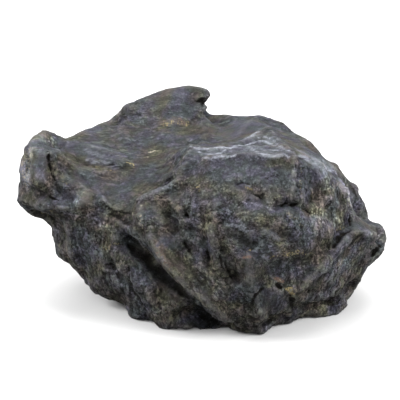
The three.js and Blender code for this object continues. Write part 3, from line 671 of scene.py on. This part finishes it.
    "fin foot ochre": ([(124, 118), (130, 122), (136, 127)], 0.8, {"warmth": 0.8, "pale": 0.35}),
    "fin brown": ([(196, 130), (204, 134), (206, 142)], 1.2, {"warmth": 1.2, "rust": 0.15}),
    "dish ochre": ([(92, 166), (104, 168), (114, 172)], 1.0, {"warmth": 1.0, "ochre": 0.35}),
    "horn moss": ([(58, 170), (62, 178), (66, 184)], 1.3, {"warmth": 1.0, "ochre": 0.3}),
    "hump ochre": ([(196, 186), (201, 191)], 0.8, {"ochre": 0.5, "pale": 0.4}),
    "hump specks": ([(178, 208), (186, 206)], 0.9, {"ochre": 0.35, "pale": 0.3}),
    "pit specks": ([(184, 224), (190, 226)], 0.5, {"pale": 0.6}),
    "brow ochre": ([(244, 186), (252, 190)], 0.7, {"ochre": 0.55}),
    "flank ochre": ([(100, 248), (110, 246), (118, 244)], 1.0, {"ochre": 0.45}),
    "flank high ochre": ([(42, 212), (48, 212), (56, 208)], 1.0, {"ochre": 0.4}),
    "slab rust": ([(154, 244), (162, 252), (172, 260), (180, 272)],
                  2.6, {"shade": -0.3, "warmth": 1.8, "rust": 0.2}),
    "slab edge rust": ([(156, 246), (163, 256), (172, 270)], 1.1, {"ochre": 0.3, "rust": 0.5}),
    "rust spot": ([(243, 258), (246, 256), (250, 257)], 0.6, {"ochre": 0.4, "rust": 0.8, "fray": 0.7}),
    "rust crumbs": ([(246, 251), (252, 250)], 0.5, {"ochre": 0.6}),
    "pink spot": ([(273, 278), (278, 279), (283, 281)],
                  0.75, {"ochre": 0.6, "rust": 0.9, "pale": 0.45, "fray": 0.5}),
    "toe ochre": ([(287, 289), (291, 290), (294, 294)], 1.1, {"ochre": 0.65, "rust": 0.4}),
    "ochre streak": ([(270, 258), (284, 254), (296, 252), (308, 254)], 0.9, {"ochre": 0.5}),
    "pit crust": ([(334, 230), (341, 227), (346, 226)], 0.9, {"ochre": 0.5, "pale": 0.4}),
    "pale crust": ([(286, 211), (294, 218), (303, 226)], 1.1, {"ochre": 0.3, "pale": 0.4}),
    "right crust": ([(300, 204), (318, 208), (334, 212)], 1.4, {"ochre": 0.1, "pale": 0.2}),
    "lower right crust": ([(322, 224), (332, 230), (334, 236)], 1.1, {"ochre": 0.25, "pale": 0.3}),
    "lobe crumbs": ([(340, 290), (346, 296), (348, 304)], 1.1, {"ochre": 0.2, "pale": 0.4}),
    # Areas that are lighter or darker, warmer or cooler: partly the stone's own tone, mostly painted light
    # and painted shade, with a cool painted sheen on the crest, the dish and the hump.
    "horn top tone": ([(32, 140), (44, 138), (58, 142)], 2.0, {"shade": -0.85, "warmth": -0.3}),
    # painted light: the facet that faces the left lamp, made lighter and paler
    "horn left facet": ([(29, 150), (28, 168), (27, 186)],
                        3.0, {"shade": -1.2, "pale": 0.55, "blue": 0.15}),
    "horn front cool": ([(38, 152), (40, 180)], 1.8, {"warmth": -1.1}),
    "horn step": ([(28, 189), (38, 190), (48, 194)], 1.3, {"shade": 0.5}),
    "horn shadow": ([(57, 185), (61, 191), (66, 197)], 1.3, {"shade": 0.9}),
    "under horn tone": ([(34, 210), (48, 214), (60, 216)], 2.6, {"shade": 0.6, "warmth": 1.4}),
    "shoulder tone": ([(300, 156), (318, 160), (336, 172)], 2.2, {"shade": -0.9, "warmth": -0.6}),
    "crest tone": ([(200, 152), (230, 152), (262, 148), (290, 152)], 2.6, {"shade": -0.2, "warmth": -1.2}),
    "right face tone": ([(326, 178), (332, 196)], 3.0, {"shade": -0.7, "warmth": -0.2}),
    "right face low tone": ([(316, 206), (330, 212), (342, 214)], 2.2, {"shade": -0.5}),
    "right top tone": ([(340, 180), (347, 192), (351, 202)], 2.6, {"shade": -1.35, "warmth": -0.1}),
    "right low tone": ([(304, 212), (322, 221), (338, 226)], 3.2, {"shade": -0.85, "warmth": 0.3}),
    "dish low tone": ([(130, 176), (150, 180), (168, 178)], 3.0, {"shade": 0.4, "warmth": -1.2}),
    "col tone": ([(202, 124), (204, 134), (206, 142)], 2.0, {"shade": 0.5}),
    "scoop tone": ([(214, 130), (236, 130), (252, 126)], 2.4, {"shade": 0.2}),
    "fin low tone": ([(136, 118), (156, 121), (176, 121), (192, 122)], 2.6, {"shade": -0.3}),
    "under hump tone": ([(222, 262), (240, 270), (262, 268), (286, 272)], 4.0, {"shade": 0.62}),
    "under hump cool": ([(246, 268), (254, 280), (264, 290)], 3.0, {"shade": 0.1, "warmth": -1.2}),
    "hump upper tone": ([(212, 172), (240, 170), (276, 172)], 2.8, {"warmth": -0.7}),
    "hump upper cool": ([(206, 172), (240, 174), (284, 176)], 3.4, {"warmth": -0.7}),
    "hump sheet": ([(243, 204), (256, 209), (270, 212)], 3.0, {"shade": -0.1, "warmth": -1.0}),
    "hump middle tone": ([(216, 202), (248, 200), (280, 204)], 3.0, {"shade": -0.2, "warmth": 0.5}),
    "hump left tone": ([(152, 216), (172, 222), (196, 224)], 3.2, {"shade": -0.3}),
    "hump low tone": ([(232, 232), (260, 236), (290, 234)], 3.4, {"shade": 0.8, "warmth": 0.2}),
    "hump core": ([(236, 234), (246, 240), (253, 246)], 2.4, {"shade": 0.5}),
    "toe tone": ([(236, 300), (250, 312)], 3.2, {"shade": 0.1, "warmth": -0.4}),
    "toe facet tone": ([(260, 298), (270, 304), (280, 310)], 2.8, {"shade": 1.0, "warmth": -1.2}),
    "slab tone": ([(160, 248), (176, 264), (196, 286), (222, 310)], 3.2, {"shade": 0.15, "warmth": 1.4}),
    "slab low tone": ([(206, 276), (220, 296), (234, 316)], 3.2, {"warmth": -0.4}),
    "flank tone": ([(80, 226), (96, 256), (124, 290)], 4.0, {"warmth": -0.2}),
    "flank high tone": ([(66, 212), (84, 214), (104, 224)], 3.2, {"shade": -1.1, "warmth": 0.1}),
    "lobe tone": ([(292, 306), (314, 306), (330, 300)], 2.6, {"shade": 0.1, "warmth": 0.8}),
    "lobe low tone": ([(300, 304), (318, 304), (330, 300)], 1.6, {"shade": -0.3}),
    "lobe face tone": ([(356, 246), (348, 262), (338, 278)], 3.2, {"shade": -0.15, "warmth": -1.8}),
    "ridge tone": ([(336, 262), (348, 262)], 3.2, {"shade": -0.7, "warmth": -0.6}),
    "ridge trough": ([(328, 246), (319, 255), (306, 260), (290, 262)], 1.8, {"shade": 0.2}),
    "nose tone": ([(358, 228), (368, 232), (378, 236)], 2.2, {"shade": -0.3, "warmth": -0.6}),
    "furrow floor": ([(148, 265), (158, 276), (170, 288)], 1.1, {"shade": 1.0, "fray": 0.6}),
}


pathSettings = {
    "step": 1.5,  # pixels from one spot to the next
    "swaySize": 9,  # pixels
    "swayReach": 0.8,
    "swaySeed": 0.5,
    "tip": 0.45,  # width at the ends, as a share of the whole
    "tipPower": 0.6,
    "search": 1.5,  # how far out points are looked for, in half widths
}


def markPath(path, tree):  # spots on the stone along the path, which sways a little
    spots = []
    size, reach = pathSettings["swaySize"], pathSettings["swayReach"]
    for (u0, v0), (u1, v1) in zip(path, path[1:] or path):  # a single pixel is joined to itself
        count = max(1, round(math.hypot(u1 - u0, v1 - v0) / pathSettings["step"]))
        for k in range(count + 1):
            u = u0 + (u1 - u0) * k / count
            v = v0 + (v1 - v0) * k / count
            sway = noise.noise_vector((u / size, v / size, pathSettings["swaySeed"]))
            hit = framePoint(u + reach * sway.x, v + reach * sway.y, tree)
            if hit is not None:
                spots.append(hit)
    return spots


def markNearness(spots, wide, lookup, count):  # 1 on the path, 0 at its edges, below 0 outside them
    nearness = np.full(count, -1.0)
    tip = pathSettings["tip"]
    for k, spot in enumerate(spots):
        reach = wide * mm
        if len(spots) > 2:
            middle = math.sin(math.pi * (k + 0.5) / len(spots)) ** pathSettings["tipPower"]
            reach *= tip + (1 - tip) * middle
        for _, index, gap in lookup.find_range(spot, pathSettings["search"] * reach):
            nearness[index] = max(nearness[index], 1 - gap / reach)
    return nearness


stainsAndShade = ("creviceShade", "ochre", "rust", "pale")  # stains, and the painted shade in cracks; each takes the strongest mark's amount
paintedSheen = "blue"  # and so does this painted sheen
tones = ("shade", "warmth")  # these add up; shade is painted shade, and painted light below 0
fraying = {
    "size": 1.1,
    "octaves": 4,
    "reach": 0.42,
    "seed": 4.4,
    "most": 0.5,  # how far an edge moves, in half widths
    "stainWidth": 1.4,  # how much fuller a stain is than the relief under it
}


def addMarks(bm, points):
    tree = BVHTree.FromBMesh(bm)
    lookup = kdtree.KDTree(len(bm.verts))
    for i, v in enumerate(bm.verts):
        lookup.insert(v.co, i)
    lookup.balance()
    most = fraying["most"]
    fray = fraying["reach"] * rugged(points, fraying["size"], fraying["octaves"], fraying["seed"])
    fray = np.clip(fray, -most, most)
    height = np.zeros(len(points))
    colours = {name: np.zeros(len(points)) for name in (*stainsAndShade, paintedSheen, *tones)}
    for path, wide, mark in marks.values():
        nearness = markNearness(markPath(path, tree), wide, lookup, len(points))
        ragged = nearness + fray * mark.get("fray", 1)
        nearness = np.where(nearness > -most, ragged, 0)
        height += mark.get("high", 0) * smoothStep(nearness)
        for name in (*stainsAndShade, paintedSheen):
            if name in mark:
                amount = mark[name] * smoothStep(fraying["stainWidth"] * nearness)
                colours[name] = np.maximum(colours[name], amount)
        for name in tones:
            if name in mark:
                colours[name] += mark[name] * smoothStep(nearness)
    print("marks made:", len(marks))
    return height, colours


hollowSettings = {"passes": 12, "softness": 0.5, "deep": 0.25}  # deep: mm that count as fully hollow


def hollowness(bm):  # how far each point lies below what is round it, -1 to 1
    points = pointsOf(bm)
    soft = bm.copy()
    soften(soft, hollowSettings["passes"], hollowSettings["softness"])
    below = np.einsum("ij,ij->i", pointsOf(soft) - points, normalsOf(soft))
    soft.free()
    return np.clip(below / hollowSettings["deep"], -1, 1)


surfaceSettings = {
    "topFrom": 0.25,  # how far up a face looks where it starts to count as the worn top
    "topFade": 0.6,
    "sideRelief": 1.3,
    "topReliefLoss": 0.5,  # how much less relief the top has than the sides
    "sideGrain": 1.52,
    "topGrainLoss": 0.9,
    "calmGrain": 0.35,  # grain left where the stone is calmest
    "underFrom": 0.45,  # faces that look down get painted shade and turn dull
    "underFade": 0.9,
    "topShade": 0.36,  # painted shade and a cool painted sheen make the top a little darker and cooler
    "topCool": 0.5,
    "warmth": 0.1,  # over all of the stone
}


def makeStone():
    surface = surfaceSettings
    bm = makeBody()
    drawPlaces(bm)
    smoothOver(bm)
    points = pointsOf(bm)
    normals = normalsOf(bm)
    markHeight, colours = addMarks(bm, points)
    shares, high = runShares(points)
    top = smoothStep((normals[:, 2] - surface["topFrom"]) / surface["topFade"])
    relief = stoneRelief(points, shares, high)
    height = relief * (surface["sideRelief"] - surface["topReliefLoss"] * top) + markHeight
    points = points + normals * height[:, None]
    points[:, 2] = np.maximum(points[:, 2], 0)  # the stone stays above the floor
    movePoints(bm, points)
    print("relief raised")
    colours["hollow"] = hollowness(bm)
    # painted shade on the underside, which faces the floor
    colours["under"] = smoothStep(surface["underFrom"] - surface["underFade"] * normals[:, 2])
    calm = surface["calmGrain"] + (1 - surface["calmGrain"]) * calmness(points)
    colours["coarse"] = (surface["sideGrain"] - surface["topGrainLoss"] * top) * calm
    # painted shade and a painted cool sheen on the top
    colours["shade"] += surface["topShade"] * top
    colours["warmth"] -= surface["topCool"] * top - surface["warmth"]
    colours.update(shares)
    bm.normal_update()
    mesh = bpy.data.meshes.new("lodestoneSurface")
    bm.to_mesh(mesh)
    bm.free()
    mesh.shade_smooth()
    for name, values in colours.items():
        mesh.attributes.new(name, "FLOAT", "POINT").data.foreach_set("value", values.astype(np.float32))
    stone = bpy.data.objects.new("lodestoneSurface", mesh)
    bpy.context.collection.objects.link(stone)
    mesh.materials.append(makeMagnetite())
    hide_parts("lodestone")
    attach(stone, "root")
    print("stone made:", len(mesh.polygons), "faces")


magnetite = {
    "dark": (0.0135, 0.0122, 0.0098, 1),
    "middle": (0.0695, 0.0702, 0.0708, 1),
    "light": (0.228, 0.226, 0.217, 1),
    "warm": (1.07, 0.977, 0.775, 1),  # this and the next three tint the greys
    "cool": (0.895, 0.967, 1.185, 1),
    "green": (0.96, 1.04, 0.92, 1),
    "purple": (1.05, 0.95, 1.07, 1),
    # painted sheen: the bluish highlight on the crest
    "blue": (0.33, 0.35, 0.405, 1),
    "ochre": (0.31, 0.255, 0.125, 1),
    "rust": (0.125, 0.078, 0.064, 1),
    "pale": (0.38, 0.345, 0.27, 1),
    # painted shade: the near-black put into cracks, pits and hollows
    "creviceShade": (0.004, 0.003, 0.002, 1),
    "specular": 0.13,
    "roughness": (0.32, 0.65),  # at the bottom and at the top of the grain
    "dullest": 0.95,  # roughness in the shade and on the underside
    "bump": 1.2,  # mm from the bottom to the top of the fine grain
    "crumbs": 3.2,  # crumbs per mm
    "bendScale": 0.35,
    "bendDetail": 2.0,
    "bend": 2.0,  # how far the lines sway, mm
    "strand": (1.9, 0.42, 0.42),  # length and widths of a strand, mm
    "sheenThreads": ((3.6, 0.9, 0.9), (2.2, 0.7, 0.7)),
    "threadShift": 9.0,
    "castShift": 31,  # the shifts keep one pattern from lying on another
    "stainShift": 7.3,
    "warmthTint": 0.1,
    "shadeStep": 0.35,  # the share of the light left by each whole step of shade
    "underShade": 0.86,
    "hollowShade": 0.75,
    "edgeLightening": 0.3,
    "strayOchre": 0.2,
    "pitShade": 0.75,
    "creaseShade": 0.6,
    "sheenBase": 0.4,  # painted sheen left between the threads
    "toneOf": {"grain": 0.26, "streaks": 0.31, "strands": 0.24, "crumbs": 0.19},
    "heightOf": {
        "grain": 0.5, "streaks": 0.5, "strands": 0.1, "crumbs": 0.09, "pits": -0.25, "creases": -0.15,
    },
    "noise": {  # scale per mm, detail, roughness, distortion
        "grain": (2.2, 4, 0.75, 0.3),
        "streaks": (0.35, 5, 0.72, 0.4),
        "hue": (0.2, 3, 0.5),
        "cast": (0.45, 2, 0.6),
        "flecks": (1.6, 5, 0.75),
        "pits": (1.4, 3, 0.65),
        "creases": (1.0, 4, 0.7),
        "creaseGaps": (0.45, 2, 0.6),
        "sheenThreads": (0.8, 3, 0.6, 0.3),
        "sheenGaps": (0.9, 3, 0.7),
        "stainEdges": (2.0, 4, 0.75),
    },
    "masks": {  # the values that become 0 and 1
        "grain": (0.3, 0.7),
        "streaks": (0.3, 0.7),
        "tone": (0.25, 0.75),
        "darkToMiddle": (0.0, 0.55),
        "middleToLight": (0.55, 1.0),
        "hue": (0.4, 0.6),
        "cast": (0.42, 0.58),
        "hollows": (0.0, 0.9),
        "edges": (-0.1, -0.9),
        "flecks": (0.66, 0.72),
        "pits": (0.39, 0.33),
        "pitGrain": (0.6, 1.2),
        "creases": (0.02, 0.0),
        "creaseGaps": (0.48, 0.58),
        "creaseGrain": (0.5, 1.0),
        "sheenThreads": (0.05, 0.0),
        "sheenGaps": (0.30, 0.52),
        "stainEdges": (0.3, 0.7),
        "stainsAndShade": (1.0, 1.35),
        "dull": (0.0, 1.5),
    },
}
noises, masks = magnetite["noise"], magnetite["masks"]


def rockLayers(g):  # the patterns that the colour, the gloss and the bump share
    place = g.node("ShaderNodeTexCoord").outputs["Object"]
    place = g.node("ShaderNodeMapping", {"Vector": place, "Scale": (1 / mm,) * 3}).outputs["Vector"]
    bend = g.node("ShaderNodeTexNoise", {
        "Vector": place, "Scale": magnetite["bendScale"], "Detail": magnetite["bendDetail"],
    }).outputs["Color"]
    bend = g.vectors("SUBTRACT", bend, (0.5, 0.5, 0.5))
    bent = g.vectors("MULTIPLY_ADD", bend, (magnetite["bend"],) * 3, place)
    streaks = strands = 0.0
    for name, direction in runs.items():
        local = g.along(bent, direction, magnetite["strand"])
        share = g.attribute(name)
        streaks = g.plus(streaks, g.times(g.noise(local, *noises["streaks"]), share))
        strands = g.plus(strands, g.times(g.cells(local, 1.0), share))
    coarse = g.attribute("coarse")
    pits = g.ramp(g.noise(bent, *noises["pits"]), *masks["pits"])
    creases = g.maths("ABSOLUTE", g.minus(g.noise(bent, *noises["creases"]), 0.5))
    gaps = g.ramp(g.noise(place, *noises["creaseGaps"]), *masks["creaseGaps"])
    creases = g.times(g.ramp(creases, *masks["creases"]), gaps)
    return {
        "place": place,
        "bent": bent,
        "coarse": coarse,
        "grain": g.noise(place, *noises["grain"]),
        "crumbs": g.cells(place, magnetite["crumbs"]),
        "streaks": streaks,
        "strands": strands,
        "pits": g.times(pits, g.ramp(coarse, *masks["pitGrain"])),
        "creases": g.times(creases, g.ramp(coarse, *masks["creaseGrain"])),
    }


def weighed(g, layers, amounts):  # the layers added up, each times its amount
    total = 0.0
    for name, amount in amounts.items():
        total = g.plus(total, g.times(layers[name], amount))
    return total


def rockColour(g, layers):  # the bare rock before anything lies on it, with painted shade and painted light from the shade marks, the top and the underside
    spread = dict(layers)
    for name in ("grain", "streaks"):
        spread[name] = g.ramp(layers[name], *masks[name])
    tone = weighed(g, spread, magnetite["toneOf"])
    tone = g.plus(g.times(g.minus(tone, 0.5), layers["coarse"]), 0.5)  # more contrast where coarse
    tone = g.ramp(tone, *masks["tone"])
    colour = g.mix(g.ramp(tone, *masks["darkToMiddle"]), magnetite["dark"], magnetite["middle"])
    colour = g.mix(g.ramp(tone, *masks["middleToLight"]), colour, magnetite["light"])
    warmth = g.times(g.attribute("warmth"), magnetite["warmthTint"])
    hue = g.minus(g.noise(layers["place"], *noises["hue"]), warmth)
    tint = g.mix(g.ramp(hue, *masks["hue"]), magnetite["warm"], magnetite["cool"])
    colour = g.mix(1.0, colour, tint, "MULTIPLY")
    cast = g.noise(g.shifted(layers["bent"], magnetite["castShift"]), *noises["cast"])
    tint = g.mix(g.ramp(cast, *masks["cast"]), magnetite["green"], magnetite["purple"])
    colour = g.mix(1.0, colour, tint, "MULTIPLY")
    # painted shade and painted light: the shade marks, the top and the underside darken or lighten the
    # colour
    dim = g.plus(g.attribute("shade"), g.times(g.attribute("under"), magnetite["underShade"]))
    dim = g.maths("POWER", magnetite["shadeStep"], dim)
    return g.node("ShaderNodeVectorMath", {0: colour, "Scale": dim}, operation="SCALE").outputs[0]


def sheenShare(g, layers):  # painted sheen: thin pale threads of highlight, with a broken haze between them
    sheenThreads = 0.0
    for number, stretch in enumerate(magnetite["sheenThreads"]):
        local = g.along(layers["place"], runs["level"], stretch, magnetite["threadShift"] * number)
        middle = g.maths("ABSOLUTE", g.minus(g.noise(local, *noises["sheenThreads"]), 0.5))
        sheenThreads = g.maths("MAXIMUM", sheenThreads, g.ramp(middle, *masks["sheenThreads"]))
    gaps = g.ramp(g.noise(layers["place"], *noises["sheenGaps"]), *masks["sheenGaps"])
    base = magnetite["sheenBase"]
    haze = g.times(gaps, g.plus(g.times(sheenThreads, 1 - base), base))
    return g.times(g.attribute(paintedSheen), haze)


def shadeSheenAndStains(g, layers, colour):  # painted shade in the hollows, pits and creases, lighter raised edges, painted sheen and stains
    hollow = g.attribute("hollow")
    flecks = g.ramp(g.noise(layers["place"], *noises["flecks"]), *masks["flecks"])
    for share, amount, finish in (
        # painted shade: hollows in the mesh are darkened towards the near-black
        (g.ramp(hollow, *masks["hollows"]), magnetite["hollowShade"], "creviceShade"),
        # raised edges, where the mesh bulges out, are made lighter
        (g.ramp(hollow, *masks["edges"]), magnetite["edgeLightening"], "light"),
        (flecks, magnetite["strayOchre"], "ochre"),
        # painted shade: the grain's pits and creases are darkened towards the near-black
        (layers["pits"], magnetite["pitShade"], "creviceShade"),
        (layers["creases"], magnetite["creaseShade"], "creviceShade"),
    ):
        colour = g.mix(g.times(share, amount), colour, magnetite[finish])
    colour = g.mix(sheenShare(g, layers), colour, magnetite[paintedSheen])
    for number, name in enumerate(stainsAndShade):
        local = g.shifted(layers["bent"], magnetite["stainShift"] * number)
        edges = g.ramp(g.noise(local, *noises["stainEdges"]), *masks["stainEdges"])
        broken = g.plus(g.attribute(name), edges)
        colour = g.mix(g.ramp(broken, *masks["stainsAndShade"]), colour, magnetite[name])
    return colour


def makeMagnetite():
    material = bpy.data.materials.new("magnetite")
    material.use_nodes = True
    g = Graph(material.node_tree)
    shader = material.node_tree.nodes["Principled BSDF"]
    layers = rockLayers(g)
    colour = shadeSheenAndStains(g, layers, rockColour(g, layers))
    material.node_tree.links.new(colour, shader.inputs["Base Color"])
    roughness = g.ramp(layers["grain"], *masks["grain"], *magnetite["roughness"])
    dull = g.maths("MAXIMUM", g.ramp(g.attribute("shade"), *masks["dull"]), g.attribute("under"))
    roughness = g.maths("MAXIMUM", roughness, g.times(dull, magnetite["dullest"]))
    material.node_tree.links.new(roughness, shader.inputs["Roughness"])
    shader.inputs["Specular IOR Level"].default_value = magnetite["specular"]
    height = g.times(weighed(g, layers, magnetite["heightOf"]), layers["coarse"])
    bump = g.node("ShaderNodeBump", {"Strength": 1.0, "Distance": magnetite["bump"] * mm, "Height": height})
    material.node_tree.links.new(bump.outputs["Normal"], shader.inputs["Normal"])
    print("magnetite mixed")
    return material


makeCamera()
makeLights()
makeFloor()
makeStone()
